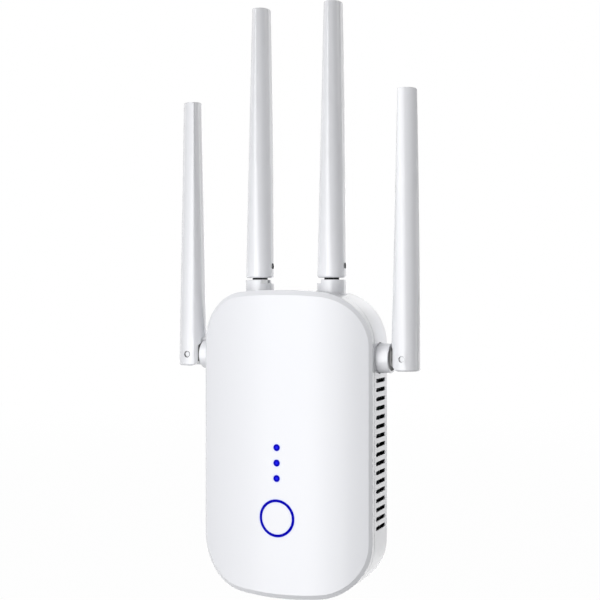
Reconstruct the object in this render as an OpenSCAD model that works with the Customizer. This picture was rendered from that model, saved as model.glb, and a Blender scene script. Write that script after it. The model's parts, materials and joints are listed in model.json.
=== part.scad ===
// Plug-in wireless range extender with four folding antennas.
// Millimetres, +Z up, front toward -Y, plug pins toward +Y.
// The origin is the middle of the pin pair on the plug face.

/* [Body] */
// width of the body
body_w = 70; // [64:1:84]
// height of the body without the antennas
body_h = 117; // [108:1:140]
// radius of the four outline corners
corner_r = 20.6; // [17:0.2:24]
// drop of the corner centres that bows the two ends
end_bow = 0.6; // [0.4:0.1:1.2]
// depth from the rim at the sides to the rear face
shell_d = 17.8; // [17:0.2:22]
// wall of both shells
wall = 2; // [1.6:0.1:2.4]
// rear wall
rear_wall = 2.2; // [1.8:0.1:2.8]
// chamfer along the rear edge
rear_chamfer = 0.6; // [0.4:0.1:1.8]
// open line between the two shells
part_gap = 0.25; // [0.1:0.05:0.3]

/* [Front cover] */
// rise of the crowned rim from its sides to its middle
rim_rise = 8.25; // [7:0.25:10]
// depth of the cover behind the rim
cover_side = 2.4; // [2.2:0.1:3]
// width of the bevel at the sides
bevel_side = 1.1; // [0.8:0.05:1.8]
// width of the bevel at the ends
bevel_end = 1.9; // [1:0.1:2.4]
// depth of the bevel at the sides
bevel_side_d = 1.3; // [0.6:0.1:1.6]
// depth of the bevel at the ends
bevel_end_d = 1.35; // [0.8:0.05:1.8]

/* [Vents] */
// slots on each side
vent_count = 17; // [8:1:17]
// distance between slots
vent_pitch = 3.5; // [3:0.1:3.6]
// length of a slot
vent_len = 10.8; // [6:0.2:11.4]
// height of a slot
vent_h = 1.6; // [0.8:0.05:1.8]
// first slot below the side antennas
vent_drop = 8.5; // [8:0.1:12]

/* [Lights and button] */
// diameter of a signal light
dot_d = 2.45; // [1.8:0.05:3]
// distance between signal lights
dot_pitch = 5.85; // [5:0.05:6.5]
// first signal light above the ring
dot_rise = 26.8; // [24:0.1:28]
// outer diameter of the lit ring
ring_d = 14.2; // [12:0.1:16]
// width of the lit ring
ring_stroke = 0.9; // [0.7:0.1:1.2]
// middle of the ring above the lower end
ring_rise = 30.6; // [27:0.1:32]
// push of the button
button_travel = 0.6; // [0.4:0.1:0.8]

/* [Plug] */
// depth of the plug block
plug_d = 10; // [8:0.5:14]
// diameter of the plug block
plug_dia = 37; // [34:0.5:38]
// diameter of a plug pin
pin_d = 4; // [3.8:0.1:4.8]
// free length of a plug pin
pin_len = 19; // [17:0.5:20]
// distance between the plug pins
pin_spacing = 19; // [17:0.5:20]

/* [Antennas] */
// blade above its hinge pin
blade_len = 101.9; // [80:0.5:140]
// blade diameter at the hinge
blade_base_d = 11; // [10.6:0.1:12]
// width of the three-sided blade at the tip
blade_tip_d = 7.4; // [6.8:0.1:8.6]
// hinge pin to the seat of the swivel
swivel_len = 11.5; // [11:0.1:13]
// diameter of the swivel collar
collar_d = 11.4; // [11:0.1:12.4]
// hinge pin to the end of the collar
collar_gap = 5.4; // [5:0.1:5.6]
// depth of the side seats
side_seat = 1.3; // [0.8:0.1:1.6]
// depth of the top seats below the crest
top_seat = 2.1; // [1.6:0.1:2.6]
// side antennas below the upper end
side_ant_drop = 25.9; // [24.5:0.1:26.4]
// distance of the top antennas from the middle
top_ant_x = 15.25; // [13:0.25:16]
// thickness of the hinge tongue
tongue_t = 4; // [3:0.1:4.6]
// width of the hinge tongue
tongue_w = 5.6; // [5:0.1:6]
// diameter of the hinge pin
hinge_d = 2.2; // [1.8:0.1:2.4]

/* [Boards] */
// thickness of both boards
board_t = 1.6; // [1.2:0.1:1.6]
// width of the power board
power_w = 46; // [45:1:48]
// height of the power board
power_h = 38; // [37:1:40]
// screw posts from the sides
post_side = 10; // [9:0.5:11]
// screw posts from the ends
post_end = 15; // [14:0.5:15.5]
// screw shank diameter
screw_d = 2.6; // [2.2:0.1:2.8]

/* [Hidden] */
$fn = 64;
crown_steps = 300;
corner_steps = 22;
end_steps = 8;
eps = 0.1;
// loose fit of parts in one body
fit = 0.02;
// running fit of turning and sliding parts
run = 0.06;
// open gap between parts that pass each other
clear = 0.3;
half_w = body_w / 2;
half_h = body_h / 2;
post_x = half_w - post_side;
post_z = half_h - post_end;
side_ant_z = half_h - side_ant_drop;
vent_top = side_ant_z - vent_drop;
ring_z = ring_rise - half_h;
dot_top = ring_z + dot_rise;
rear_y = -plug_d;
rim_y = rear_y - shell_d;
part_y = rim_y + cover_side;
rear_in_y = rear_y - rear_wall;
// crown of the rim, a cylinder with its axis along Z
rim_crown_r = (half_w * half_w + rim_rise * rim_rise) / (2 * rim_rise);
rim_crown_y = rim_y - rim_rise + rim_crown_r;
// crown of the face, through the inner edge of the bevel
face_half = half_w - bevel_side;
face_rise = rim_rise + bevel_end_d - bevel_side_d;
face_crown_r = (face_half * face_half + face_rise * face_rise) / (2 * face_rise);
face_apex_y = rim_y - rim_rise - bevel_end_d;
face_crown_y = face_apex_y + face_crown_r;
// flat lands behind the crowned face
land_y = face_apex_y + wall + 0.8;
land_front_r = face_crown_r - wall / 2;
guide_flange_t = 1.2;
// main board between the posts of the two shells
board_front_y = part_y - 1;
board_rear_y = board_front_y + board_t;
board_inset = wall + 2.8;
board_half_h = half_h - 6.5;
led_h = 0.8;
led_w = 1.6;
// tact switch under the button
switch_w = 6;
switch_h = 3.4;
plunger_d = 3.4;
plunger_rise = button_travel + 0.1;
plunger_foot = 1.2;
switch_top_y = board_front_y - switch_h;
ring_r = ring_d / 2;
button_r = ring_r - ring_stroke - run;
button_flange_y = land_y + guide_flange_t + eps;
guide_skirt_r = ring_r + 0.8;
ring_led_r = ring_r - 0.5;
// shield cans on the front of the main board
shield_rise = 2.6;
shield_wall = 0.4;
radio_w = 34;
radio_h = 20;
processor_w = 24;
processor_h = 12;
shield_gap = 1.5;
processor_z = side_ant_z - (radio_h + processor_h) / 2 - shield_gap;
// power board in front of the plug block
stud_h = 1.8;
power_rear_y = rear_in_y - stud_h;
power_front_y = power_rear_y - board_t;
power_stud_x = power_w / 2 - 2.5;
power_stud_z = power_h / 2 - 2.5;
plug_flange_t = stud_h - 0.2;
plug_floor = 2.6;
plug_wall = 2;
plug_edge = 1;
// plug pins
pin_root_d = pin_d + 0.8;
pin_head_d = pin_root_d + 1.6;
pin_head_t = 1.5;
pin_tail_d = 2;
pin_tail_out = 0.8;
// screws from the rear
screw_head_d = 5;
screw_head_t = 1.8;
screw_sink = 5;
screw_seat_y = rear_y - screw_sink;
screw_tip_y = board_front_y - 2.6;
post_r = 4;
boss_r = 3.2;
// antenna seats and swivels
ant_y = rim_y + shell_d / 2;
vent_y = ant_y + 0.7;
side_pin_x = half_w - side_seat + swivel_len;
top_pin_z = half_h - top_seat + swivel_len;
collar_r = collar_d / 2;
collar_edge = 0.2;
pocket_wall = 0.9;
pocket_d = 1.2;
collar_step = 1.4;
collar_flat = tongue_t / 2 + 0.5;
seat_r = collar_r + clear;
seat_boss_r = seat_r + 0.35;
seat_t = 3.2;
stub_r = 3.5;
stub_bore_r = 1.2;
clip_t = 0.8;
clip_r = 4.8;
clip_groove_r = 3;
clip_z = -swivel_len - seat_t - 0.15;
stub_end_z = clip_z - clip_t - 0.65;
// blade sides, cones that start close together at the hinge and spread toward the tip
blade_r = blade_base_d / 2;
tip_r = blade_tip_d / 2;
root_set = 0.35;
tip_set = blade_tip_d / sqrt(3);
side_tilt = atan((tip_set - root_set) / blade_len);
// blade knuckle and bore
knuckle_drop = collar_gap - 0.8;
knuckle_r = collar_gap - 0.45;
fold_flat = collar_gap - 0.6;
fold_top = collar_r + 0.6;
fold_ramp = 2;
slot_side = tongue_t / 2 + 0.15;
side_over = knuckle_drop + 2;
slot_round = tongue_w / 2 + 0.4;
bore_start = slot_round + 6.8;
bore_end = blade_len - 7;
bore_wall = 1.5;
tip_edge = 1.2;
tip_flat_r = tip_set - tip_edge * sin(60);
radiator_w = 4.6;
radiator_t = 0.8;
radiator_sink = 2;
lead_r = 0.6;
lead_plug_r = 1.3;
lead_plug_h = 1.4;
// network jack at the lower end
jack_w = 15.8;
jack_h = 11.4;
jack_len = 14;
jack_z = -(half_h - end_bow - wall) + eps;
port_w = 11.8;
port_h = 7.8;
port_y = board_rear_y + 1.6;
port_deep = 11;
latch_w = 6.2;
latch_h = 1.3;
window_margin = 0.7;
contact_count = 8;
contact_pitch = 1.02;
contact_w = 0.4;
contact_rise = 1.4;
contact_set = 3;
white = [0.93, 0.93, 0.94];
blue = [0.05, 0.08, 0.9];
green = [0.1, 0.35, 0.2];
metal = [0.75, 0.75, 0.77];
gold = [0.85, 0.68, 0.3];
dark = [0.12, 0.12, 0.13];

// points of the body outline, with bowed ends, inset at the sides and the ends
function arc_points(cx, cz, r, from, to, steps) =
    [for (i = [0 : steps]) let (a = from + (to - from) * i / steps) [cx + r * cos(a), cz + r * sin(a)]];
function flip(points, sx, sz) = [for (p = points) [p[0] * sx, p[1] * sz]];
function reversed(points) = [for (i = [len(points) - 1 : -1 : 0]) points[i]];
function quarter(ix, iz) =
    let (r = corner_r - (ix + iz) / 2)
    let (xc = half_w - ix - r)
    let (zk = half_h - iz - r)
    let (zc = zk - end_bow)
    let (zb = (zk * zk - zc * zc - xc * xc) / (2 * end_bow))
    let (turn = atan2(zc - zb, xc))
    concat(arc_points(xc, zc, r, 0, turn, corner_steps),
        arc_points(0, zb, zk + r - zb, turn + 0.6, 90, end_steps));
function outline_points(ix, iz) =
    let (q = quarter(ix, iz))
    concat(q, reversed(flip(q, -1, 1)), flip(q, -1, -1), reversed(flip(q, 1, -1)));

// plate in the XZ plane between two depths
module plate(front, back) {
    translate([0, back, 0]) rotate([90, 0, 0]) linear_extrude(back - front) children();
}

// rounded rectangle that follows the inside of the outline
module inside(inset) {
    r = corner_r - inset;
    w = body_w - 2 * inset;
    h = body_h - 2 * end_bow - 2 * inset;
    square([w - 2 * r, h], center = true);
    square([w, h - 2 * r], center = true);
    for (sx = [-1, 1], sz = [-1, 1])
        translate([sx * (w / 2 - r), sz * (h / 2 - r)]) circle(r);
}

// cylinder along Y between two depths
module rod_y(x, z, front, back, r) {
    translate([x, back, z]) rotate([90, 0, 0]) cylinder(h = back - front, r = r);
}

// block centred in X and Z between two depths
module block(x, z, w, h, front, back) {
    translate([x - w / 2, front, z - h / 2]) cube([w, back - front, h]);
}

// upright cylinder that bounds the crowned face
module face_crown(r) {
    translate([0, face_crown_y, -half_h]) cylinder(h = body_h, r = r, $fn = crown_steps);
}

// outer body of the cover, a bevel between the rim and the crowned face
module cover_body() {
    hull() {
        intersection() {
            plate(rim_y - rim_rise - 1, part_y - part_gap / 2) polygon(outline_points(0, 0));
            translate([0, rim_crown_y, -half_h]) cylinder(h = body_h, r = rim_crown_r, $fn = crown_steps);
        }
        intersection() {
            plate(face_apex_y - 1, rim_y) polygon(outline_points(bevel_side, bevel_end));
            face_crown(face_crown_r);
        }
    }
}

module cover_bosses() {
    intersection() {
        union() {
            for (sx = [-1, 1], sz = [-1, 1])
                rod_y(sx * post_x, sz * post_z, face_apex_y, board_front_y, boss_r);
            rod_y(0, ring_z, face_apex_y, land_y, ring_r + 2.6);
            block(0, dot_top - dot_pitch, 8, 2 * dot_pitch + 6, face_apex_y, land_y);
        }
        face_crown(land_front_r);
    }
}

module cover_holes() {
    rod_y(0, ring_z, face_apex_y - 1, land_y + 1, ring_r + fit);
    for (i = [0 : 2])
        rod_y(0, dot_top - i * dot_pitch, face_apex_y - 1, land_y + 1, dot_d / 2 + fit);
    for (sx = [-1, 1], sz = [-1, 1])
        rod_y(sx * post_x, sz * post_z, screw_tip_y - 0.3, board_front_y + 1, screw_d / 2 + fit);
}

module front_cover() color(white) difference() {
    union() {
        difference() {
            cover_body();
            intersection() {
                plate(face_apex_y, part_y + 1) inside(wall);
                face_crown(face_crown_r - wall);
            }
        }
        cover_bosses();
    }
    cover_holes();
}

// seat frames: local Z runs out of the body along the swivel axis, the hinge pin is at zero
module at_top(s) {
    translate([s * top_ant_x, ant_y, top_pin_z]) children();
}

module at_side(s) {
    translate([s * side_pin_x, ant_y, side_ant_z]) rotate([0, s * 90, 0]) rotate([0, 0, 90]) children();
}

// frame of an upright side blade, its folding side toward the body
module at_side_blade(s) {
    translate([s * side_pin_x, ant_y, side_ant_z]) rotate([0, 0, s * 90]) children();
}

module at_each_seat() {
    for (s = [-1, 1]) {
        at_top(s) children();
        at_side(s) children();
    }
}

module housing_body() {
    hull() {
        plate(part_y + part_gap / 2, rear_y - rear_chamfer) polygon(outline_points(0, 0));
        plate(rear_y - rear_chamfer, rear_y) polygon(outline_points(rear_chamfer, rear_chamfer));
    }
}

// vent slot through the side wall
module vent(s, z) {
    for (e = [-1, 1])
        translate([s * half_w, vent_y + e * (vent_len - vent_h) / 2, z])
            rotate([0, 90, 0]) cylinder(h = 4 * wall, r = vent_h / 2, center = true);
    translate([s * half_w, vent_y, z]) cube([4 * wall, vent_len - vent_h, vent_h], center = true);
}

// lip that enters the cover behind the open line
module housing_lip() {
    difference() {
        union() {
            plate(part_y - 1, part_y + part_gap) inside(wall + 0.12);
            plate(part_y + part_gap, part_y + 1.8) inside(wall - eps);
        }
        plate(part_y - 2, part_y + 3) inside(wall + 1.2);
        block(0, -half_h, jack_w + 2 * clear, 2 * (end_bow + wall) + 6, part_y - 2, part_y + 3);
    }
}

module housing_posts() {
    for (sx = [-1, 1], sz = [-1, 1]) {
        rod_y(sx * post_x, sz * post_z, board_rear_y, rear_in_y + eps, post_r);
        rod_y(sx * power_stud_x, sz * power_stud_z, power_rear_y, rear_in_y + eps, 2);
        rod_y(sx * power_stud_x, sz * power_stud_z, power_front_y - 0.6, power_rear_y + eps, 0.8);
    }
    at_each_seat()
        translate([0, 0, -swivel_len - seat_t]) cylinder(h = seat_t, r = seat_boss_r);
}

module housing_holes() {
    at_each_seat() {
        translate([0, 0, -swivel_len]) cylinder(h = swivel_len, r = seat_r);
        translate([0, 0, -swivel_len - seat_t - 1]) cylinder(h = seat_t + 2, r = stub_r + run);
    }
    for (s = [-1, 1], i = [0 : vent_count - 1])
        vent(s, vent_top - i * vent_pitch);
    rod_y(0, 0, rear_in_y - 1, rear_y + 1, plug_dia / 2 + fit);
    for (sx = [-1, 1], sz = [-1, 1]) {
        rod_y(sx * post_x, sz * post_z, board_rear_y - 1, rear_y, screw_d / 2 + 0.2);
        rod_y(sx * post_x, sz * post_z, screw_seat_y, rear_y + 1, screw_head_d / 2 + clear);
    }
    block(0, -half_h, port_w + 2 * window_margin, 4 * wall,
        port_y - window_margin, port_y + port_h + latch_h + window_margin);
}

module rear_housing() color(white) difference() {
    union() {
        difference() {
            housing_body();
            plate(part_y - 1, rear_in_y) inside(wall);
        }
        housing_lip();
        housing_posts();
    }
    housing_holes();
}

// plug block: a cup through the rear wall with a flange behind it
module plug_block() color(white) difference() {
    union() {
        rod_y(0, 0, rear_in_y - plug_flange_t, -plug_edge, plug_dia / 2);
        rotate([90, 0, 0]) cylinder(h = plug_edge, r1 = plug_dia / 2 - plug_edge, r2 = plug_dia / 2);
        rod_y(0, 0, rear_in_y - plug_flange_t, rear_in_y, plug_dia / 2 + 2);
    }
    rod_y(0, 0, rear_in_y - plug_flange_t - 1, -plug_floor, plug_dia / 2 - plug_wall);
    for (s = [-1, 1])
        rod_y(s * pin_spacing / 2, 0, -plug_floor - 1, 1, pin_root_d / 2 + fit);
}

module plug_pin(s) color(metal) {
    x = s * pin_spacing / 2;
    rod_y(x, 0, -plug_floor, 0, pin_root_d / 2);
    rod_y(x, 0, 0, pin_len - pin_d / 2, pin_d / 2);
    translate([x, pin_len - pin_d / 2, 0]) sphere(pin_d / 2);
    rod_y(x, 0, -plug_floor - pin_head_t, -plug_floor, pin_head_d / 2);
    rod_y(x, 0, power_front_y - pin_tail_out, -plug_floor - pin_head_t, pin_tail_d / 2);
}

module plug_pin_line() plug_pin(-1);

module plug_pin_neutral() plug_pin(1);

module housing_screws() color(metal) for (sx = [-1, 1], sz = [-1, 1]) difference() {
    union() {
        rod_y(sx * post_x, sz * post_z, screw_tip_y, screw_seat_y, screw_d / 2);
        rod_y(sx * post_x, sz * post_z, screw_seat_y, screw_seat_y + screw_head_t, screw_head_d / 2);
    }
    for (a = [0, 90])
        translate([sx * post_x, screw_seat_y + screw_head_t, sz * post_z]) rotate([0, a, 0])
            cube([0.7, 1.6, 2.8], center = true);
}

module wps_button() color(white) {
    intersection() {
        rod_y(0, ring_z, face_apex_y - 1, button_flange_y, button_r);
        face_crown(face_crown_r);
    }
    rod_y(0, ring_z, button_flange_y, button_flange_y + 1, guide_skirt_r - clear - 0.2);
    rod_y(0, ring_z, button_flange_y, switch_top_y - plunger_rise, 2.2);
}

// ring flush with the face, a flange on the land and a skirt down to the board
module ring_light_guide() color(blue) difference() {
    union() {
        intersection() {
            rod_y(0, ring_z, face_apex_y - 1, land_y + eps, ring_r);
            face_crown(face_crown_r);
        }
        rod_y(0, ring_z, land_y, land_y + guide_flange_t, ring_r + 2);
        rod_y(0, ring_z, land_y, board_front_y, ring_r + 2);
    }
    rod_y(0, ring_z, face_apex_y - 2, board_front_y + 1, button_r + run);
    rod_y(0, ring_z, land_y + guide_flange_t, board_front_y + 1, guide_skirt_r);
}

module signal_light_pipe() color(blue) {
    intersection() {
        union() {
            for (i = [0 : 2])
                rod_y(0, dot_top - i * dot_pitch, face_apex_y - 1, land_y + eps, dot_d / 2);
        }
        face_crown(face_crown_r);
    }
    block(0, dot_top - dot_pitch, dot_d + 2, 2 * dot_pitch + dot_d + 2, land_y, land_y + guide_flange_t);
    for (i = [0 : 2])
        rod_y(0, dot_top - i * dot_pitch, land_y + guide_flange_t, board_front_y - led_h - 0.2, dot_d / 2);
}

module main_board() color(green) difference() {
    intersection() {
        plate(board_front_y, board_rear_y) inside(board_inset);
        block(0, 0, body_w, 2 * board_half_h, board_front_y, board_rear_y);
    }
    for (sx = [-1, 1], sz = [-1, 1])
        rod_y(sx * post_x, sz * post_z, board_front_y - 1, board_rear_y + 1, screw_d / 2 + 0.2);
}

module status_leds() color(white) for (i = [0 : 2])
    block(0, dot_top - i * dot_pitch, led_w, led_w, board_front_y - led_h, board_front_y);

module ring_leds() color(white) for (a = [0 : 90 : 270])
    translate([ring_led_r * cos(a), 0, ring_z + ring_led_r * sin(a)])
        block(0, 0, led_w, led_w, board_front_y - led_h, board_front_y);

module switch_body() color(dark) difference() {
    block(0, ring_z, switch_w, switch_w, switch_top_y, board_front_y);
    rod_y(0, ring_z, switch_top_y - 1, switch_top_y + plunger_foot + plunger_rise + eps,
        plunger_d / 2 + run);
}

module switch_plunger() color(dark)
    rod_y(0, ring_z, switch_top_y - plunger_rise, switch_top_y + plunger_foot, plunger_d / 2);

// open-backed metal can on the front of the board
module shield(z, w, h) color(metal) difference() {
    block(0, z, w, h, board_front_y - shield_rise, board_front_y);
    block(0, z, w - 2 * shield_wall, h - 2 * shield_wall, board_front_y - shield_rise + shield_wall,
        board_front_y + 1);
}

module radio_shield() shield(side_ant_z, radio_w, radio_h);

module processor_shield() shield(processor_z, processor_w, processor_h);

module ethernet_jack() color(dark) difference() {
    translate([-jack_w / 2, board_rear_y, jack_z]) cube([jack_w, jack_h, jack_len]);
    translate([-port_w / 2, port_y, jack_z - 1]) cube([port_w, port_h, port_deep + 1]);
    translate([-latch_w / 2, port_y, jack_z - 1]) cube([latch_w, port_h + latch_h, port_deep + 1]);
}

// sprung wires in the roof of the port
module jack_contacts() color(gold) for (i = [0 : contact_count - 1])
    translate([(i - (contact_count - 1) / 2) * contact_pitch - contact_w / 2, port_y, jack_z + contact_set])
        cube([contact_w, contact_rise, port_deep - contact_set]);

module power_board() color(green) difference() {
    block(0, 0, power_w, power_h, power_front_y, power_rear_y);
    for (sx = [-1, 1], sz = [-1, 1])
        rod_y(sx * power_stud_x, sz * power_stud_z, power_front_y - 1, power_rear_y + 1, 0.8 + fit);
    for (s = [-1, 1])
        rod_y(s * pin_spacing / 2, 0, power_front_y - 1, power_rear_y + 1, pin_tail_d / 2 + fit);
}

// core with the winding showing at both ends
module transformer() color(dark) {
    rise = 7;
    block(-8, 11, 12, 9, power_front_y - rise, power_front_y);
    block(-8, 11, 8, 13, power_front_y - rise + 1, power_front_y - 0.8);
}

module bulk_capacitor() color(dark) {
    r = 3.4;
    translate([3, power_front_y - r, 11.5]) rotate([0, 90, 0]) cylinder(h = 12, r = r);
    block(9, 11.5, 11, 3, power_front_y - r, power_front_y);
}

// header between the two boards
module board_link() color(dark) {
    z = -13;
    block(0, z, 10.4, 2.6, power_front_y - 2.5, power_front_y);
    for (i = [-1.5 : 1 : 1.5])
        block(i * 2.54, z, 0.64, 0.64, board_rear_y, power_front_y - 2.5);
}

// collar with a pocket round the tongue, stepped down on one side if asked, and a stub through the seat
module swivel(step_side) color(white) difference() {
    union() {
        difference() {
            union() {
                translate([0, 0, -swivel_len])
                    cylinder(h = swivel_len - collar_gap - collar_edge, r = collar_r);
                translate([0, 0, -collar_gap - collar_edge])
                    cylinder(h = collar_edge, r1 = collar_r, r2 = collar_r - collar_edge);
            }
            translate([0, 0, -collar_gap - pocket_d]) cylinder(h = pocket_d + 1, r = collar_r - pocket_wall);
            if (step_side != 0)
                translate([step_side * (collar_flat + collar_r), 0, (1 - collar_step) / 2 - collar_gap])
                    cube([collar_d, collar_d + 2, collar_step + 1], center = true);
        }
        translate([0, 0, stub_end_z]) cylinder(h = -stub_end_z - swivel_len + 1, r = stub_r);
        translate([-tongue_t / 2, -tongue_w / 2, -collar_gap - collar_step - 1])
            cube([tongue_t, tongue_w, collar_gap + collar_step + 1]);
        rotate([0, 90, 0]) cylinder(h = tongue_t, r = tongue_w / 2, center = true);
    }
    rotate([0, 90, 0]) cylinder(h = tongue_t + 2, r = hinge_d / 2 + run, center = true);
    translate([0, 0, stub_end_z - 1])
        cylinder(h = -stub_end_z - collar_gap - pocket_d - 0.2, r = stub_bore_r);
    translate([0, 0, clip_z - clip_t]) difference() {
        cylinder(h = clip_t, r = stub_r + 1);
        translate([0, 0, -1]) cylinder(h = clip_t + 2, r = clip_groove_r);
    }
}

// open clip in the groove of the stub
module clip() color(metal) translate([0, 0, clip_z - clip_t]) difference() {
    cylinder(h = clip_t, r = clip_r);
    translate([0, 0, -1]) cylinder(h = clip_t + 2, r = clip_groove_r + fit);
    translate([0, -clip_groove_r * 0.7, -1]) cube([clip_r + 1, clip_groove_r * 1.4, clip_t + 2]);
}

// radius of a blade side, from the hinge to the tip
function side_r(z) = blade_r + root_set + (blade_tip_d - blade_r - root_set) * z / blade_len;

// one side of the blade, a leaning cone that faces +Y before it is turned
module blade_side(turn) rotate([0, 0, turn]) translate([0, -root_set, 0]) rotate([side_tilt, 0, 0])
    translate([0, 0, -side_over])
        cylinder(h = blade_len + 2 * side_over, r1 = side_r(-side_over), r2 = side_r(blade_len + side_over));

// round at the hinge, with three ridges that sharpen toward a flat tip with rounded corners
module blade_body() intersection() {
    foot_edge = 0.4;
    outer_r = blade_r + 1;
    blade_side(0);
    blade_side(120);
    blade_side(240);
    rotate_extrude() polygon([[0, -knuckle_drop], [blade_r - foot_edge, -knuckle_drop],
        [outer_r, foot_edge + 1 - knuckle_drop], [outer_r, blade_len - tip_edge - 2 * outer_r],
        for (a = [60, 30, 0]) [tip_flat_r + tip_edge * sin(a), blade_len - tip_edge * (1 - cos(a))],
        [0, blade_len]]);
}

// closed tube, cut at the knuckle so that it folds toward +Y
module blade() color(white) difference() {
    blade_body();
    translate([-slot_side, -slot_round, -2 * knuckle_drop])
        cube([2 * slot_side, slot_round + blade_base_d, 2 * knuckle_drop + slot_round]);
    translate([-blade_base_d, 0, 0]) rotate([90, 0, 90]) linear_extrude(2 * blade_base_d)
        polygon([[fold_flat, 0], [fold_flat, fold_top], [fold_flat + fold_ramp, fold_top + fold_ramp],
            [blade_base_d, fold_top + fold_ramp], [blade_base_d, 0]]);
    difference() {
        translate([-blade_base_d, 0, -blade_base_d]) cube([2 * blade_base_d, blade_base_d, blade_base_d]);
        rotate([0, 90, 0]) cylinder(h = 3 * blade_base_d, r = knuckle_r, center = true);
    }
    rotate([0, 90, 0]) cylinder(h = 2 * blade_base_d, r = hinge_d / 2 + fit, center = true);
    translate([0, 0, slot_round - 1]) cylinder(h = bore_start - slot_round + 2, r = 1);
    translate([0, 0, bore_start])
        cylinder(h = bore_end - bore_start, r1 = blade_r - bore_wall - 0.1, r2 = tip_r - bore_wall);
    translate([-radiator_w / 2 - fit, -radiator_t / 2 - fit, bore_start - radiator_sink])
        cube([radiator_w + 2 * fit, radiator_t + 2 * fit, radiator_sink + 1]);
}

// strip that stands in a slot at the foot of the bore
module radiator() color(gold)
    translate([-radiator_w / 2, -radiator_t / 2, bore_start - radiator_sink])
        cube([radiator_w, radiator_t, (bore_end - bore_start) * 0.75]);

module hinge_pin() color(metal) rotate([0, 90, 0])
    cylinder(h = blade_base_d - 1.2, r = hinge_d / 2, center = true);

// round rod between two points, with a round start
module rod(a, b, r) {
    d = b - a;
    translate(a) sphere(r);
    translate(a) rotate([0, acos(d[2] / norm(d)), atan2(d[1], d[0])]) cylinder(h = norm(d), r = r);
}

// coaxial lead from a swivel stub down to its plug on the rear of the main board
module lead(start, inward, side, plug_x, plug_z) color(dark) {
    top = board_rear_y + lead_plug_h;
    knee = start + inward * 5;
    foot = [side * plug_x, top + lead_r * 2, plug_z];
    rod(start, knee, lead_r);
    rod(knee, foot, lead_r);
    rod(foot, [side * plug_x, top - eps, plug_z], lead_r);
    rod_y(side * plug_x, plug_z, board_rear_y, top, lead_plug_r);
}

module side_lead(s) lead([s * (side_pin_x + stub_end_z + 2), ant_y, side_ant_z], [-s, 0, 0],
    s, side_pin_x + stub_end_z - 8, side_ant_z + 5);

module top_lead(s) lead([s * top_ant_x, ant_y, top_pin_z + stub_end_z + 2], [0, 0, -1],
    s, top_ant_x - 5, top_pin_z + stub_end_z - 8);

module left_side_swivel() at_side(-1) swivel(0);
module left_side_clip() at_side(-1) clip();
module left_side_blade() at_side_blade(-1) blade();
module left_side_radiator() at_side_blade(-1) radiator();
module left_side_pin() at_side_blade(-1) hinge_pin();
module left_side_lead() side_lead(-1);
module right_side_swivel() at_side(1) swivel(0);
module right_side_clip() at_side(1) clip();
module right_side_blade() at_side_blade(1) blade();
module right_side_radiator() at_side_blade(1) radiator();
module right_side_pin() at_side_blade(1) hinge_pin();
module right_side_lead() side_lead(1);
module left_top_swivel() at_top(-1) swivel(1);
module left_top_clip() at_top(-1) clip();
module left_top_blade() at_top(-1) blade();
module left_top_radiator() at_top(-1) radiator();
module left_top_pin() at_top(-1) hinge_pin();
module left_top_lead() top_lead(-1);
module right_top_swivel() at_top(1) swivel(-1);
module right_top_clip() at_top(1) clip();
module right_top_blade() at_top(1) blade();
module right_top_radiator() at_top(1) radiator();
module right_top_pin() at_top(1) hinge_pin();
module right_top_lead() top_lead(1);

front_cover();
rear_housing();
plug_block();
plug_pin_line();
plug_pin_neutral();
housing_screws();
wps_button();
ring_light_guide();
signal_light_pipe();
main_board();
status_leds();
ring_leds();
switch_body();
switch_plunger();
radio_shield();
processor_shield();
ethernet_jack();
jack_contacts();
power_board();
transformer();
bulk_capacitor();
board_link();
left_side_swivel();
left_side_clip();
left_side_blade();
left_side_radiator();
left_side_pin();
left_side_lead();
right_side_swivel();
right_side_clip();
right_side_blade();
right_side_radiator();
right_side_pin();
right_side_lead();
left_top_swivel();
left_top_clip();
left_top_blade();
left_top_radiator();
left_top_pin();
left_top_lead();
right_top_swivel();
right_top_clip();
right_top_blade();
right_top_radiator();
right_top_pin();
right_top_lead();
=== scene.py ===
import json
import math

import bpy
import numpy as np
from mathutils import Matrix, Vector


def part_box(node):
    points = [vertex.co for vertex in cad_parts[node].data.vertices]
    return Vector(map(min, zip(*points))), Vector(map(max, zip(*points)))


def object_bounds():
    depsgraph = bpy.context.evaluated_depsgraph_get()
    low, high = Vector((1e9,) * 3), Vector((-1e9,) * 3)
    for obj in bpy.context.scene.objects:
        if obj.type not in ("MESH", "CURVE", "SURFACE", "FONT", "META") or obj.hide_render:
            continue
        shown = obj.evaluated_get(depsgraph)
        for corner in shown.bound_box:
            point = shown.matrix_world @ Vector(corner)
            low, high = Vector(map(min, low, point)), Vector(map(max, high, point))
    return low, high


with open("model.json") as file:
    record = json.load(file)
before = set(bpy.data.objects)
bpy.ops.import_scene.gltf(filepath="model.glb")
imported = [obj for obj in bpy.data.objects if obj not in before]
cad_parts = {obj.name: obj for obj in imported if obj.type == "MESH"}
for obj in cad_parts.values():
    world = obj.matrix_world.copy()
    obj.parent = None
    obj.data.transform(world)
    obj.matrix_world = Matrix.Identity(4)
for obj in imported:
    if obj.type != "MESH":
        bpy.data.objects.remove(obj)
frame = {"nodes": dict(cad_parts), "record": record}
cadLow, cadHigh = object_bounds()
nodes = frame["nodes"]
slotOf = {part["node"]: part["material_slot"] for part in frame["record"]["subparts"]}
scene = bpy.context.scene
scene.view_settings.view_transform = "Standard"


# Node helpers: a value goes onto the socket, a socket is linked to it.

def feed(tree, socket, value):
    if isinstance(value, bpy.types.NodeSocket):
        tree.links.new(value, socket)
    elif value is not None:
        socket.default_value = value


def put(tree, kind, **values):
    node = tree.nodes.new(kind)
    for label, value in values.items():
        feed(tree, node.inputs[label], value)
    return node


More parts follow.
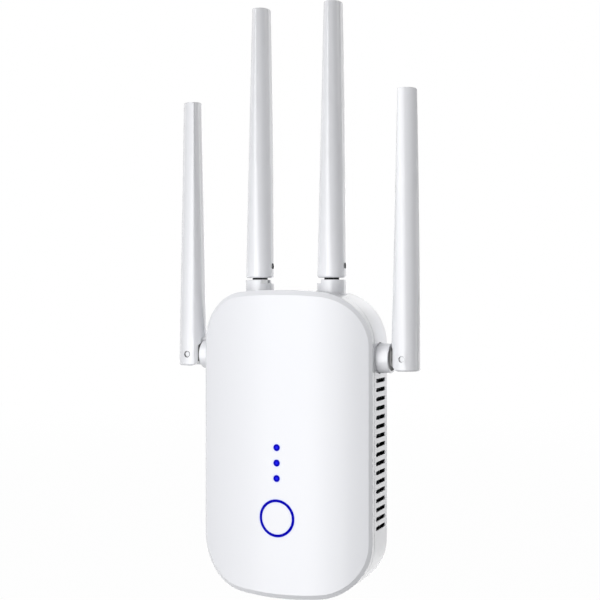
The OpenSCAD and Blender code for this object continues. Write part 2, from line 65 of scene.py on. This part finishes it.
def calc(tree, operation, first, second=None, clamp=False):
    node = tree.nodes.new("ShaderNodeMath")
    node.operation = operation
    node.use_clamp = clamp
    feed(tree, node.inputs[0], first)
    feed(tree, node.inputs[1], second)
    return node.outputs[0]


def ramp(tree, value, low, high, start, end):
    node = tree.nodes.new("ShaderNodeMapRange")
    node.interpolation_type = "SMOOTHSTEP"
    limits = {"Value": value, "From Min": low, "From Max": high, "To Min": start, "To Max": end}
    for label, number in limits.items():
        feed(tree, node.inputs[label], number)
    return node.outputs["Result"]


def blendColours(tree, factor, first, second):
    node = tree.nodes.new("ShaderNodeMix")
    node.data_type = "RGBA"
    feed(tree, node.inputs["Factor"], factor)
    feed(tree, node.inputs["A"], first)
    feed(tree, node.inputs["B"], second)
    return node.outputs["Result"]


def startGroup(name, inputs, outputs):
    group = bpy.data.node_groups.new(name, "ShaderNodeTree")
    for label, kind, value in inputs:
        socket = group.interface.new_socket(label, in_out="INPUT", socket_type=kind)
        if value is not None:
            socket.default_value = value
    for label in outputs:
        group.interface.new_socket(label, in_out="OUTPUT", socket_type="NodeSocketFloat")
    return group, group.nodes.new("NodeGroupInput").outputs, group.nodes.new("NodeGroupOutput").inputs


def useGroup(tree, group, **values):
    node = tree.nodes.new("ShaderNodeGroup")
    node.node_tree = group
    for label, value in values.items():
        feed(tree, node.inputs[label], value)
    return node.outputs


# Moulded surface: a fine spark texture, a slow tone drift and a patchy gloss.
mouldSettings = {"fineDetail": 2.0, "slowDetail": 3.0, "patchScale": 6.0, "waveWeight": 2.0}


def mouldGroup():
    group, given, out = startGroup(
        "mouldedSurface",
        [("Vector", "NodeSocketVector", None), ("Grain", "NodeSocketFloat", 2500.0),
         ("Drift", "NodeSocketFloat", 30.0)],
        ["Height", "Tone", "Gloss"])
    fine = put(group, "ShaderNodeTexNoise", Vector=given["Vector"], Scale=given["Grain"],
               Detail=mouldSettings["fineDetail"])
    slow = put(group, "ShaderNodeTexNoise", Vector=given["Vector"], Scale=given["Drift"],
               Detail=mouldSettings["slowDetail"])
    patchScale = calc(group, "MULTIPLY", given["Drift"], mouldSettings["patchScale"])
    patch = put(group, "ShaderNodeTexNoise", Vector=given["Vector"], Scale=patchScale)
    wave = calc(group, "MULTIPLY", slow.outputs["Fac"], mouldSettings["waveWeight"])
    feed(group, out["Height"], calc(group, "ADD", fine.outputs["Fac"], wave))
    feed(group, out["Tone"], slow.outputs["Fac"])
    feed(group, out["Gloss"], patch.outputs["Fac"])
    return group


# Drawn metal: noise stretched along the drawing direction.
drawnSettings = {"lineDetail": 3.0, "stainScale": 220.0, "stainDetail": 2.0}


def drawnGroup():
    group, given, out = startGroup(
        "drawnMetal",
        [("Vector", "NodeSocketVector", None), ("Stretch", "NodeSocketVector", (4000.0, 120.0, 4000.0))],
        ["Height", "Tone", "Gloss"])
    scaled = group.nodes.new("ShaderNodeVectorMath")
    scaled.operation = "MULTIPLY"
    feed(group, scaled.inputs[0], given["Vector"])
    feed(group, scaled.inputs[1], given["Stretch"])
    lines = put(group, "ShaderNodeTexNoise", Vector=scaled.outputs[0], Scale=1.0,
                Detail=drawnSettings["lineDetail"])
    stain = put(group, "ShaderNodeTexNoise", Vector=given["Vector"], Scale=drawnSettings["stainScale"],
                Detail=drawnSettings["stainDetail"])
    feed(group, out["Height"], lines.outputs["Fac"])
    feed(group, out["Tone"], stain.outputs["Fac"])
    feed(group, out["Gloss"], lines.outputs["Fac"])
    return group


# Depth inside the housing: distance to a rounded rectangle in XZ, |p| less the half sides, with the corner radius.
def insideGroup():
    group, given, out = startGroup(
        "insideHousing",
        [("Vector", "NodeSocketVector", None), ("Half Wide", "NodeSocketFloat", 0.035),
         ("Half Tall", "NodeSocketFloat", 0.058), ("Corner", "NodeSocketFloat", 0.02),
         ("Skin", "NodeSocketFloat", 0.0004), ("Rear", "NodeSocketFloat", -0.012)],
        ["Mask"])
    axes = put(group, "ShaderNodeSeparateXYZ", Vector=given["Vector"]).outputs
    over = []
    for axis, half in (("X", "Half Wide"), ("Z", "Half Tall")):
        reach = calc(group, "SUBTRACT", given[half], given["Corner"])
        over.append(calc(group, "SUBTRACT", calc(group, "ABSOLUTE", axes[axis]), reach))
    outer = [calc(group, "MAXIMUM", side, 0.0) for side in over]
    squares = [calc(group, "MULTIPLY", side, side) for side in outer]
    corner = calc(group, "SQRT", calc(group, "ADD", squares[0], squares[1]))
    flat = calc(group, "MINIMUM", calc(group, "MAXIMUM", over[0], over[1]), 0.0)
    depth = calc(group, "SUBTRACT", given["Corner"], calc(group, "ADD", corner, flat))
    within = calc(group, "GREATER_THAN", depth, given["Skin"])
    ahead = calc(group, "LESS_THAN", axes["Y"], given["Rear"])
    feed(group, out["Mask"], calc(group, "MULTIPLY", within, ahead))
    return group


# Painted glow: light from the ring and the signal lights soaking into the white plastic, painted as a wide tint that
# falls off with the distance to the ring and to the nearest signal light, and a narrow rim beside them.
bleedSettings = {"lastDot": 2.0, "dotCore": 0.0008, "rimStart": 0.75}


# Signal lights stand in a row downwards: height above the nearest one's middle.
def heightOverDot(tree, height, firstHeight, pitch):
    drop = calc(tree, "SUBTRACT", firstHeight, height)
    index = calc(tree, "ROUND", calc(tree, "DIVIDE", drop, pitch))
    index = calc(tree, "MINIMUM", calc(tree, "MAXIMUM", index, 0.0), bleedSettings["lastDot"])
    return calc(tree, "SUBTRACT", drop, calc(tree, "MULTIPLY", index, pitch))


def bleedGroup():
    group, given, out = startGroup(
        "lightBleed",
        [("Vector", "NodeSocketVector", None), ("Ring Height", "NodeSocketFloat", 0.0),
         ("Ring Radius", "NodeSocketFloat", 0.0066), ("First Dot", "NodeSocketFloat", 0.0),
         ("Dot Step", "NodeSocketFloat", 0.006), ("Reach", "NodeSocketFloat", 0.0015),
         ("Front", "NodeSocketFloat", -0.03), ("Edge", "NodeSocketFloat", 0.0006)],
        ["Mask", "Glow Rim Mask"])
    axes = put(group, "ShaderNodeSeparateXYZ", Vector=given["Vector"]).outputs
    across = calc(group, "MULTIPLY", axes["X"], axes["X"])

    def distance(rise):
        return calc(group, "SQRT", calc(group, "ADD", across, calc(group, "MULTIPLY", rise, rise)))

    toRing = distance(calc(group, "SUBTRACT", axes["Z"], given["Ring Height"]))
    toRing = calc(group, "ABSOLUTE", calc(group, "SUBTRACT", toRing, given["Ring Radius"]))
    toDot = distance(heightOverDot(group, axes["Z"], given["First Dot"], given["Dot Step"]))
    toDot = calc(group, "SUBTRACT", toDot, bleedSettings["dotCore"])
    near = calc(group, "MINIMUM", toRing, toDot)
    glow = calc(group, "SUBTRACT", 1.0, calc(group, "DIVIDE", near, given["Reach"]), clamp=True)
    front = calc(group, "LESS_THAN", axes["Y"], given["Front"])
    feed(group, out["Mask"], calc(group, "MULTIPLY", calc(group, "MULTIPLY", glow, glow), front))
    rimStart = calc(group, "MULTIPLY", given["Edge"], bleedSettings["rimStart"])
    rim = ramp(group, near, rimStart, given["Edge"], 1.0, 0.0)
    feed(group, out["Glow Rim Mask"], calc(group, "MULTIPLY", rim, front))
    return group


# Places round a hinge: position along the swivel axis from the pin, and distances to that axis and to the pin's line.
def hingeGroup():
    group, given, out = startGroup(
        "hingePlaces",
        [("Vector", "NodeSocketVector", None), ("Pin", "NodeSocketVector", None), ("Axis", "NodeSocketVector", None),
         ("Line", "NodeSocketVector", None)],
        ["Along", "From Axis", "From Line"])

    def vectors(operation, first, second):
        node = group.nodes.new("ShaderNodeVectorMath")
        node.operation = operation
        feed(group, node.inputs[0], first)
        feed(group, node.inputs[1], second)
        return node.outputs

    offset = vectors("SUBTRACT", given["Vector"], given["Pin"])["Vector"]
    feed(group, out["Along"], vectors("DOT_PRODUCT", offset, given["Axis"])["Value"])
    for label, direction in (("From Axis", "Axis"), ("From Line", "Line")):
        shadow = vectors("PROJECT", offset, given[direction])["Vector"]
        feed(group, out[label], vectors("DISTANCE", offset, shadow)["Value"])
    return group


moulded = mouldGroup()
drawn = drawnGroup()
insideHousing = insideGroup()
lightBleed = bleedGroup()
hingePlaces = hingeGroup()
print("node groups built")


# One finish: surface group, two near tones, roughness spread, relief, plus what the finish names itself.
glossSettings = {"low": 0.3, "high": 0.7}  # span of the gloss pattern that the roughness spread covers


def makeFinish(name, finish):
    material = bpy.data.materials.new(name)
    material.use_nodes = True
    tree = material.node_tree
    tree.nodes.clear()
    shader = tree.nodes.new("ShaderNodeBsdfPrincipled")
    feed(tree, tree.nodes.new("ShaderNodeOutputMaterial").inputs["Surface"], shader.outputs["BSDF"])
    place = tree.nodes.new("ShaderNodeTexCoord").outputs["Object"]
    if "stretch" in finish:
        surface = useGroup(tree, drawn, Vector=place, Stretch=finish["stretch"])
    else:
        surface = useGroup(tree, moulded, Vector=place, Grain=finish["grain"])
    dim = tuple(finish["dim"] * part for part in finish["colour"])
    colour = blendColours(tree, surface["Tone"], (*finish["colour"], 1.0), (*dim, 1.0))
    rough = finish["roughness"]
    spread = finish["spread"]
    patchy = ramp(tree, surface["Gloss"], glossSettings["low"], glossSettings["high"], rough - spread, rough + spread)
    feed(tree, shader.inputs["Roughness"], patchy)
    bump = put(tree, "ShaderNodeBump", Height=surface["Height"], Strength=1.0, Distance=finish["relief"])
    feed(tree, shader.inputs["Normal"], bump.outputs["Normal"])
    shader.inputs["Metallic"].default_value = finish.get("metallic", 0.0)
    shader.inputs["IOR"].default_value = finish.get("ior", 1.5)
    return material, tree, shader, place, colour, bump


def plainFinish(name, finish):
    material, tree, shader, place, colour, bump = makeFinish(name, finish)
    feed(tree, shader.inputs["Base Color"], colour)
    return material


bodyFinish = {
    "colour": (0.842, 0.85, 0.882), "dim": 0.985, "roughness": 0.25, "spread": 0.008,
    "grain": 2600.0, "relief": 0.0000012,
    "insideShadeColour": (0.012, 0.012, 0.013),  # painted shade inside the housing, near black, where the interior lies in shade behind the slots
    "halfTall": 0.0579, "corner": 0.0206, "skin": 0.0004, "insideShadeRear": -0.0122,
    "bleedColour": (0.30, 0.33, 1.0), "bleedReach": 0.0017, "bleedAmount": 0.6,
    "glowRimColour": (0.01, 0.01, 0.62), "glowRimReach": 0.00063,
}
antennaFinish = {
    "colour": (0.815, 0.822, 0.85), "dim": 0.985, "roughness": 0.13, "spread": 0.006, "ior": 1.6,
    "grain": 3000.0, "relief": 0.0000008,
}
# Painted shade in the hinges: pocket tones on the swivels, gap and hole tones on the blades.
hingeFinish = {
    "axes": {"left_side": (-1, 0, 0), "right_side": (1, 0, 0), "left_top": (0, 0, 1), "right_top": (0, 0, 1)},
    "pocketShadeTones": {"left_side": 0.2, "right_side": 0.6, "left_top": 0.03, "right_top": 0.03},
    "pocketRadius": 0.00485,
    "pocketDepths": {"left_side": 0.00665, "right_side": 0.00665, "left_top": 0.0053, "right_top": 0.00665},
    "holeShadeRadii": {"left_side": 0.0013, "right_side": 0.00116, "left_top": 0.00116, "right_top": 0.00116},
    "tongueDark": 0.0034, "tongueClear": 0.0028,
    "gapShadeTone": 0.03, "gapStart": 0.0039, "gapFull": 0.0043, "gapRadius": 0.0051,
    "ridgeFoot": 0.003, "ridgeTip": 0.0004, "ridgeStart": 0.008, "ridgeFull": 0.016, "ridgeLeast": 0.1,
    "ridgeSamples": 8,
}
lightFinish = {
    "colour": (0.002, 0.002, 0.25), "dim": 0.9, "roughness": 0.5, "spread": 0.02, "ior": 1.03,
    "grain": 1500.0, "relief": 0.0000006,
    "glowEdge": (0.0, 0.0, 0.26), "glowMiddle": (0.022, 0.022, 0.96), "glowStrength": 0.8, "glowReach": 0.001,
    "ringRadius": 0.00665, "dotPitch": 0.00585, "front": -0.03,
}
hardFinishes = {
    "plug_metal": {"colour": (0.72, 0.71, 0.68), "dim": 0.9, "roughness": 0.22, "spread": 0.06,
                   "relief": 0.000001, "stretch": (5000.0, 150.0, 5000.0), "metallic": 1.0},
    "steel": {"colour": (0.55, 0.55, 0.57), "dim": 0.86, "roughness": 0.32, "spread": 0.08,
              "relief": 0.000002, "stretch": (900.0, 900.0, 900.0), "metallic": 1.0},
    "tin_plate": {"colour": (0.68, 0.68, 0.68), "dim": 0.9, "roughness": 0.3, "spread": 0.08,
                  "relief": 0.000002, "stretch": (200.0, 200.0, 3000.0), "metallic": 1.0},
    "gold_contact": {"colour": (0.83, 0.6, 0.22), "dim": 0.88, "roughness": 0.25, "spread": 0.06,
                     "relief": 0.000001, "stretch": (3000.0, 3000.0, 200.0), "metallic": 1.0},
    "board_green": {"colour": (0.03, 0.16, 0.06), "dim": 0.6, "roughness": 0.4, "spread": 0.08,
                    "grain": 900.0, "relief": 0.00001},
    "led_white": {"colour": (0.8, 0.8, 0.7), "dim": 0.9, "roughness": 0.45, "spread": 0.05,
                  "grain": 3000.0, "relief": 0.000002},
    "black_plastic": {"colour": (0.02, 0.02, 0.022), "dim": 0.75, "roughness": 0.45, "spread": 0.06,
                      "grain": 2200.0, "relief": 0.000004},
    "capacitor_sleeve": {"colour": (0.02, 0.024, 0.07), "dim": 0.8, "roughness": 0.35, "spread": 0.05,
                         "grain": 1200.0, "relief": 0.000003},
    "radiator_strip": {"colour": (0.5, 0.27, 0.09), "dim": 0.8, "roughness": 0.4, "spread": 0.08,
                       "grain": 1800.0, "relief": 0.000003},
    "lead_jacket": {"colour": (0.03, 0.03, 0.033), "dim": 0.8, "roughness": 0.5, "spread": 0.06,
                    "grain": 2600.0, "relief": 0.000003},
}
buttonLow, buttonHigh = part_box("wps_button")
pipeLow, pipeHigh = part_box("signal_light_pipe")
ringHeight = (buttonLow.z + buttonHigh.z) / 2
firstDot = (pipeLow.z + pipeHigh.z) / 2 + lightFinish["dotPitch"]


# Cover and button: the white finish with the painted blue glow round the ring and the signal lights.
def coverFinish():
    material, tree, shader, place, colour, bump = makeFinish("whiteCover", bodyFinish)
    glow = useGroup(tree, lightBleed, Vector=place, Front=lightFinish["front"], Reach=bodyFinish["bleedReach"],
                    Edge=bodyFinish["glowRimReach"],
                    **{"Ring Height": ringHeight, "Ring Radius": lightFinish["ringRadius"],
                       "First Dot": firstDot, "Dot Step": lightFinish["dotPitch"]})
    amount = calc(tree, "MULTIPLY", glow["Mask"], bodyFinish["bleedAmount"])
    paintedGlow = blendColours(tree, amount, colour, (*bodyFinish["bleedColour"], 1.0))
    paintedGlow = blendColours(tree, glow["Glow Rim Mask"], paintedGlow, (*bodyFinish["glowRimColour"], 1.0))
    feed(tree, shader.inputs["Base Color"], paintedGlow)
    return material


# Housing: the white finish, with painted shade on the inside faces so the vent slots look shadowed inside.
def housingFinish():
    material, tree, shader, place, colour, bump = makeFinish("whiteHousing", bodyFinish)
    inner = useGroup(tree, insideHousing, Vector=place, Corner=bodyFinish["corner"], Skin=bodyFinish["skin"],
                     Rear=bodyFinish["insideShadeRear"],
                     **{"Half Wide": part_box("rear_housing")[1].x, "Half Tall": bodyFinish["halfTall"]})
    insideShaded = blendColours(tree, inner["Mask"], colour, (*bodyFinish["insideShadeColour"], 1.0))
    feed(tree, shader.inputs["Base Color"], insideShaded)
    return material


def hingePosition(tree, antenna, axis, place):
    pinLow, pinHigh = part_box(antenna + "_pin")
    reach = list(pinHigh - pinLow)
    line = [float(length == max(reach)) for length in reach]
    return useGroup(tree, hingePlaces, Vector=place, Pin=(pinLow + pinHigh) / 2, Axis=axis, Line=line)


# Where shade is painted the gloss goes too: roughness goes up to the mask.
def dullWhere(tree, shader, mask):
    rough = shader.inputs["Roughness"]
    feed(tree, rough, calc(tree, "MAXIMUM", rough.links[0].from_socket, mask))


# Swivel: painted shade inside its pocket, white again where its tongue enters the blade.
def swivelMaterial(antenna, axis):
    material, tree, shader, place, colour, bump = makeFinish(antenna + "Swivel", antennaFinish)
    hinge = hingePosition(tree, antenna, axis, place)
    within = calc(tree, "LESS_THAN", hinge["From Axis"], hingeFinish["pocketRadius"])
    above = calc(tree, "GREATER_THAN", hinge["Along"], -hingeFinish["pocketDepths"][antenna])
    below = ramp(tree, hinge["Along"], -hingeFinish["tongueDark"], -hingeFinish["tongueClear"], 1.0, 0.0)
    paintedShade = calc(tree, "MULTIPLY", calc(tree, "MULTIPLY", within, above), below)
    tone = hingeFinish["pocketShadeTones"][antenna]
    pocketShaded = blendColours(tree, paintedShade, colour, (tone, tone, tone, 1.0))
    feed(tree, shader.inputs["Base Color"], pocketShaded)
    dullWhere(tree, shader, paintedShade)
    return material


# Blade: painted shade where it faces the collar and in the pin's hole, with the ridges' shading softened, most at the
# foot.
def bladeMaterial(antenna, axis):
    material, tree, shader, place, colour, bump = makeFinish(antenna + "Blade", antennaFinish)
    hinge = hingePosition(tree, antenna, axis, place)
    facing = ramp(tree, hinge["Along"], -hingeFinish["gapFull"], -hingeFinish["gapStart"], 1.0, 0.0)
    within = calc(tree, "LESS_THAN", hinge["From Axis"], hingeFinish["gapRadius"])
    hole = calc(tree, "LESS_THAN", hinge["From Line"], hingeFinish["holeShadeRadii"][antenna])
    tone = hingeFinish["gapShadeTone"]
    paintedShade = calc(tree, "MAXIMUM", calc(tree, "MULTIPLY", facing, within), hole)
    feed(tree, shader.inputs["Base Color"], blendColours(tree, paintedShade, colour, (tone, tone, tone, 1.0)))
    dullWhere(tree, shader, paintedShade)
    foot, tip = (corner.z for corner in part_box(antenna + "_blade"))
    height = put(tree, "ShaderNodeSeparateXYZ", Vector=place).outputs["Z"]
    narrow = put(tree, "ShaderNodeMapRange", Value=height, **{
        "From Min": foot, "From Max": tip, "To Min": hingeFinish["ridgeFoot"], "To Max": hingeFinish["ridgeTip"]})
    start = ramp(tree, height, foot + hingeFinish["ridgeStart"], foot + hingeFinish["ridgeFull"],
                 hingeFinish["ridgeLeast"], 1.0)
    soft = tree.nodes.new("ShaderNodeBevel")
    soft.samples = hingeFinish["ridgeSamples"]
    feed(tree, soft.inputs["Radius"], calc(tree, "MULTIPLY", narrow.outputs["Result"], start))
    feed(tree, bump.inputs["Normal"], soft.outputs["Normal"])
    return material


# Lit blue guide: brighter in the middle of each signal light, even round the ring.
def blueFinish():
    material, tree, shader, place, colour, bump = makeFinish("litBlueGuide", lightFinish)
    feed(tree, shader.inputs["Base Color"], colour)
    axes = put(tree, "ShaderNodeSeparateXYZ", Vector=place).outputs
    rise = heightOverDot(tree, axes["Z"], firstDot, lightFinish["dotPitch"])
    squares = calc(tree, "ADD", calc(tree, "MULTIPLY", rise, rise), calc(tree, "MULTIPLY", axes["X"], axes["X"]))
    middle = ramp(tree, calc(tree, "SQRT", squares), 0.0, lightFinish["glowReach"], 1.0, 0.0)
    glow = blendColours(tree, middle, (*lightFinish["glowEdge"], 1.0), (*lightFinish["glowMiddle"], 1.0))
    feed(tree, shader.inputs["Emission Color"], glow)
    shader.inputs["Emission Strength"].default_value = lightFinish["glowStrength"]
    return material


finishes = {slot: plainFinish(slot, finish) for slot, finish in hardFinishes.items()}
finishes["white_shell"] = plainFinish("whiteShell", bodyFinish)
finishes["white_antenna"] = plainFinish("whiteAntenna", antennaFinish)
finishes["blue_light"] = blueFinish()
ownFinishes = {"front_cover": coverFinish(), "rear_housing": housingFinish()}
ownFinishes["wps_button"] = ownFinishes["front_cover"]
for antenna, axis in hingeFinish["axes"].items():
    ownFinishes[antenna + "_swivel"] = swivelMaterial(antenna, axis)
    ownFinishes[antenna + "_blade"] = bladeMaterial(antenna, axis)
for name, piece in nodes.items():
    for place in piece.material_slots:
        place.material = ownFinishes.get(name, finishes[slotOf[name]])
print("finishes assigned:", len(finishes) + len(ownFinishes))


# Even normals on the mouldings: loose triangles are joined, and edges below the angle are shaded smooth.
smoothSettings = {
    "joinDistance": 0.000002,
    "edgeAngles": {"front_cover": 14.0, "rear_housing": 14.0},
    "faceWeight": 100,
}


def smoothGroup():
    group = bpy.data.node_groups.new("evenNormals", "GeometryNodeTree")
    for way in ("INPUT", "OUTPUT"):
        group.interface.new_socket("Geometry", in_out=way, socket_type="NodeSocketGeometry")
    group.interface.new_socket("Edge Angle", in_out="INPUT", socket_type="NodeSocketFloat")
    given = group.nodes.new("NodeGroupInput").outputs
    mesh = put(group, "GeometryNodeMergeByDistance", Geometry=given["Geometry"],
               Distance=smoothSettings["joinDistance"]).outputs["Geometry"]
    mesh = put(group, "GeometryNodeRemoveAttribute", Geometry=mesh, Name="custom_normal").outputs["Geometry"]
    angle = group.nodes.new("GeometryNodeInputMeshEdgeAngle").outputs["Unsigned Angle"]
    soft = calc(group, "LESS_THAN", angle, given["Edge Angle"])
    for domain, value in (("EDGE", soft), ("FACE", True)):
        node = group.nodes.new("GeometryNodeSetShadeSmooth")
        node.domain = domain
        feed(group, node.inputs["Geometry"], mesh)
        feed(group, node.inputs["Shade Smooth"], value)
        mesh = node.outputs["Geometry"]
    feed(group, group.nodes.new("NodeGroupOutput").inputs["Geometry"], mesh)
    limit = next(item.identifier for item in group.interface.items_tree if item.name == "Edge Angle")
    return group, limit


evenNormals, limitInput = smoothGroup()
for name, edgeAngle in smoothSettings["edgeAngles"].items():
    smoother = nodes[name].modifiers.new("evenNormals", "NODES")
    smoother.node_group = evenNormals
    smoother[limitInput] = math.radians(edgeAngle)
    weighted = nodes[name].modifiers.new("faceWeighted", "WEIGHTED_NORMAL")
    weighted.keep_sharp = True
    weighted.weight = smoothSettings["faceWeight"]
print("shells smoothed")


cameraSettings = {
    "place": (0.173209, -0.43123, 0.058655), "turn": 22.56, "dip": 0.523,
    "lens": 68.338, "sensor": 36.0, "clipStart": 0.01,
}
cameraData = bpy.data.cameras.new("photoCamera")
cameraData.lens = cameraSettings["lens"]
cameraData.sensor_width = cameraSettings["sensor"]
cameraData.clip_start = cameraSettings["clipStart"]
camera = bpy.data.objects.new("photoCamera", cameraData)
camera.location = cameraSettings["place"]
camera.rotation_euler = (math.radians(90 - cameraSettings["dip"]), 0, math.radians(cameraSettings["turn"]))
scene.collection.objects.link(camera)
scene.camera = camera
print("camera placed")


# Studio: upright soft panels on a circle, power by azimuth from the front toward the right, and two soft boxes.
studioSettings = {
    "aim": (0.0, -0.02, 0.05), "distance": 0.9,
    "panelSize": (0.237, 1.0),
    "panels": {-45: 0.4, -30: 1.72, -15: 2.15, 0: 3.05, 15: 1.9, 90: 0.2, 105: 0.95,
               135: 1.9, 150: 0.9, 165: 0.65, 180: 1.0, 195: 0.6},
    "softBoxes": {
        "upperFront": {"size": (0.5, 0.5), "power": 1.6, "azimuth": -20, "elevation": 45, "gloss": True},
        "lowerRear": {"size": (0.5, 0.5), "power": 4.0, "azimuth": 205, "elevation": -30, "gloss": False},
    },
    "ambient": 0.02, "floorDrop": 0.004, "floorReach": 4.0, "floorTone": 0.6,
    "floorWhite": 0.985, "fadeStart": 0.2, "fadeEnd": 0.8,
    "behindStart": -0.1, "behindFull": 0.3,  # white backdrop behind the object, as gloss shows it
}


def addPanel(name, size, power, azimuth, elevation=0, gloss=True):
    azimuth, elevation = math.radians(azimuth), math.radians(elevation)
    level = math.cos(elevation)
    back = Vector((math.sin(azimuth) * level, -math.cos(azimuth) * level, math.sin(elevation)))
    lamp = bpy.data.lights.new(name, "AREA")
    lamp.shape = "RECTANGLE"
    lamp.size, lamp.size_y = size
    lamp.energy = power
    holder = bpy.data.objects.new(name, lamp)
    holder.location = Vector(studioSettings["aim"]) + back * studioSettings["distance"]
    holder.rotation_mode = "QUATERNION"
    holder.rotation_quaternion = (-back).to_track_quat("-Z", "Y")
    holder.visible_camera = False
    holder.visible_glossy = gloss
    scene.collection.objects.link(holder)


def seenDirectly(path, tree):
    return calc(tree, "MAXIMUM", path["Is Camera Ray"], path["Is Transmission Ray"])


def addFloor():
    reach, height = studioSettings["floorReach"], cadLow.z - studioSettings["floorDrop"]
    side = np.array([-reach, reach])
    across, along = np.meshgrid(side, side)
    points = np.stack([across.ravel(), along.ravel(), np.full(4, height)], axis=1)
    mesh = bpy.data.meshes.new("paleFloor")
    mesh.from_pydata(points.tolist(), [], [(0, 1, 3, 2)])
    floor = bpy.data.objects.new("paleFloor", mesh)
    scene.collection.objects.link(floor)
    material = bpy.data.materials.new("paleFloor")
    material.use_nodes = True
    tree = material.node_tree
    tree.nodes.clear()
    tone, white = studioSettings["floorTone"], studioSettings["floorWhite"]
    path = tree.nodes.new("ShaderNodeLightPath").outputs
    matte = put(tree, "ShaderNodeBsdfDiffuse", Color=(tone, tone, tone, 1.0))
    lit = put(tree, "ShaderNodeEmission", Strength=1.0)
    place = tree.nodes.new("ShaderNodeTexCoord").outputs["Object"]
    away = put(tree, "ShaderNodeVectorMath", Vector=place)
    away.operation = "LENGTH"
    share = ramp(tree, away.outputs["Value"], studioSettings["fadeStart"], studioSettings["fadeEnd"], white, 1.0)
    mix = put(tree, "ShaderNodeMixShader", Fac=calc(tree, "MULTIPLY", seenDirectly(path, tree), share))
    feed(tree, mix.inputs[1], matte.outputs[0])
    feed(tree, mix.inputs[2], lit.outputs[0])
    feed(tree, tree.nodes.new("ShaderNodeOutputMaterial").inputs["Surface"], mix.outputs[0])
    mesh.materials.append(material)
    # a lit table: it takes shadows, and lamp light passes through it
    floor.visible_shadow = floor.visible_diffuse = floor.visible_glossy = False
    return floor


def addWorld():
    world = bpy.data.worlds.new("whiteStudio")
    world.use_nodes = True
    tree = world.node_tree
    tree.nodes.clear()
    path = tree.nodes.new("ShaderNodeLightPath").outputs
    level = studioSettings["ambient"]
    heading = put(tree, "ShaderNodeSeparateXYZ", Vector=tree.nodes.new("ShaderNodeTexCoord").outputs["Generated"])
    behind = ramp(tree, heading.outputs["Y"], studioSettings["behindStart"], studioSettings["behindFull"], 0.0, 1.0)
    backdrop = calc(tree, "MULTIPLY", path["Is Glossy Ray"], behind)
    white = calc(tree, "MAXIMUM", seenDirectly(path, tree), backdrop)
    tone = blendColours(tree, white, (level, level, level, 1.0), (1.0, 1.0, 1.0, 1.0))
    sky = put(tree, "ShaderNodeBackground", Color=tone, Strength=1.0)
    feed(tree, tree.nodes.new("ShaderNodeOutputWorld").inputs["Surface"], sky.outputs[0])
    scene.world = world


for azimuth, power in studioSettings["panels"].items():
    addPanel(f"panel{azimuth}", studioSettings["panelSize"], power, azimuth)
for name, box in studioSettings["softBoxes"].items():
    addPanel(name, box["size"], box["power"], box["azimuth"], box["elevation"], box["gloss"])
addFloor()
addWorld()
print("studio lit:", len(studioSettings["panels"]), "panels,", len(studioSettings["softBoxes"]), "soft boxes")
